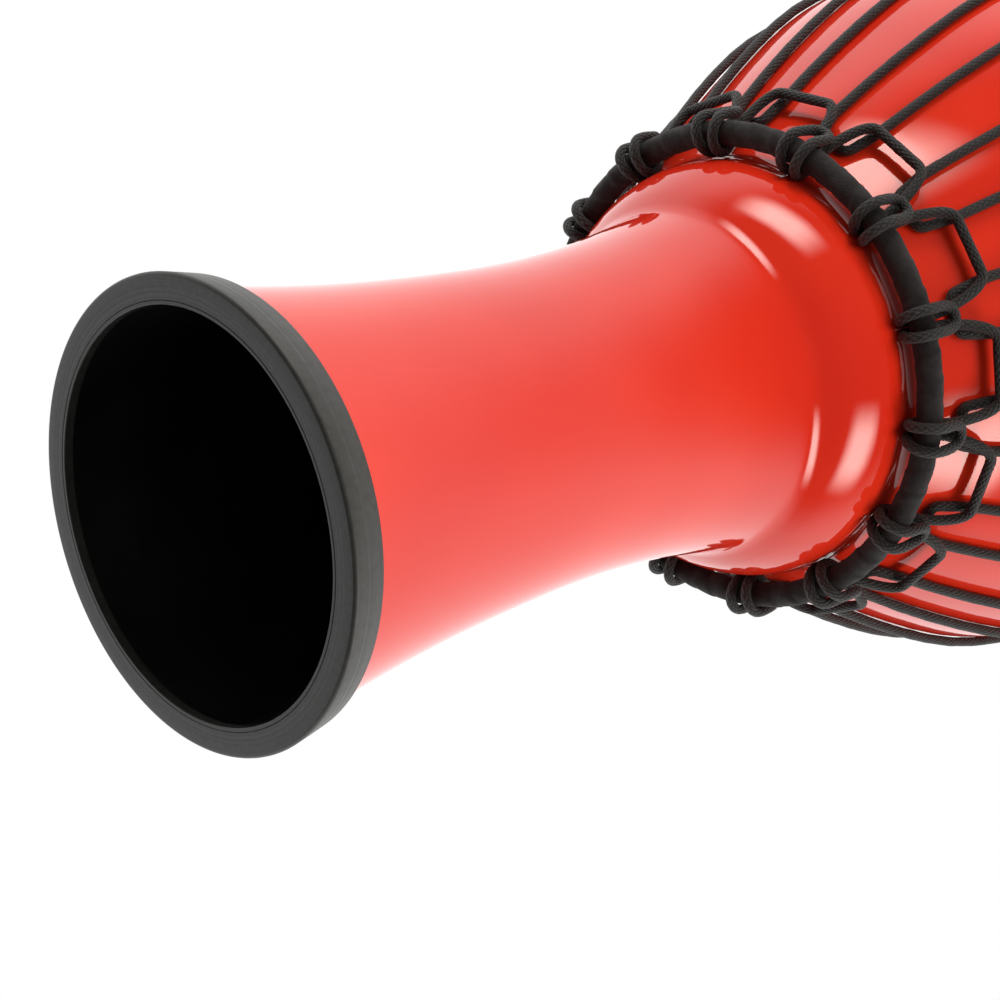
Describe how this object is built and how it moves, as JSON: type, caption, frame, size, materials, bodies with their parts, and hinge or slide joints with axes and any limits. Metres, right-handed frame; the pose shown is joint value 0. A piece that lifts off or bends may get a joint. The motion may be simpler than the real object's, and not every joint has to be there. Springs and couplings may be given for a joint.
{
  "type": "rope-tuned goblet drum",
  "caption": "Red goblet hand drum on a black rubber foot, its skin tensioned by hoops and a black rope net hitched round the bowl.",
  "frame": {"origin": "middle of the rubber foot's lower face, at the base of the bounding box", "axes": "+Z along the drum's axis, from the foot up to the playing skin; +X has no special meaning"},
  "size_m": [0.4072, 0.415, 0.6352],
  "materials": {
    "lacquered_shell": "high-gloss red gel coat over fibreglass, gloss black inside",
    "foot_rubber": "matte moulded rubber with fine turning lines",
    "hoop_steel": "plain round bar, welded, hidden under cloth and skin",
    "hoop_cloth": "black cloth strip wound in overlapping turns",
    "tuning_rope": "braided low-stretch cord, satin black",
    "goat_skin": "shaved natural skin, semi-matte"
  },
  "bodies": {
    "root": {"shell": "lacquered_shell", "foot_ring": "foot_rubber", "lower_hoop": "hoop_steel", "lower_hoop_wrap": "hoop_cloth", "lower_cradle_rope": "tuning_rope", "lower_cradle_knot": "tuning_rope", "lacing_rope": "tuning_rope", "lacing_knot": "tuning_rope", "skin_collar": "goat_skin", "drumhead": "goat_skin"},
    "crown": {"crown_hoop": "hoop_steel", "crown_hoop_wrap": "hoop_cloth", "crown_cradle_rope": "tuning_rope", "crown_cradle_knot": "tuning_rope", "flesh_hoop": "hoop_steel"}
  },
  "joints": [
    {"name": "tuning_travel", "type": "slide", "parent": "root", "child": "crown", "axis": [0, 0, -1], "range_m": [-0.004, 0.008], "deforming": ["lacing_rope", "skin_collar"]}
  ]
}
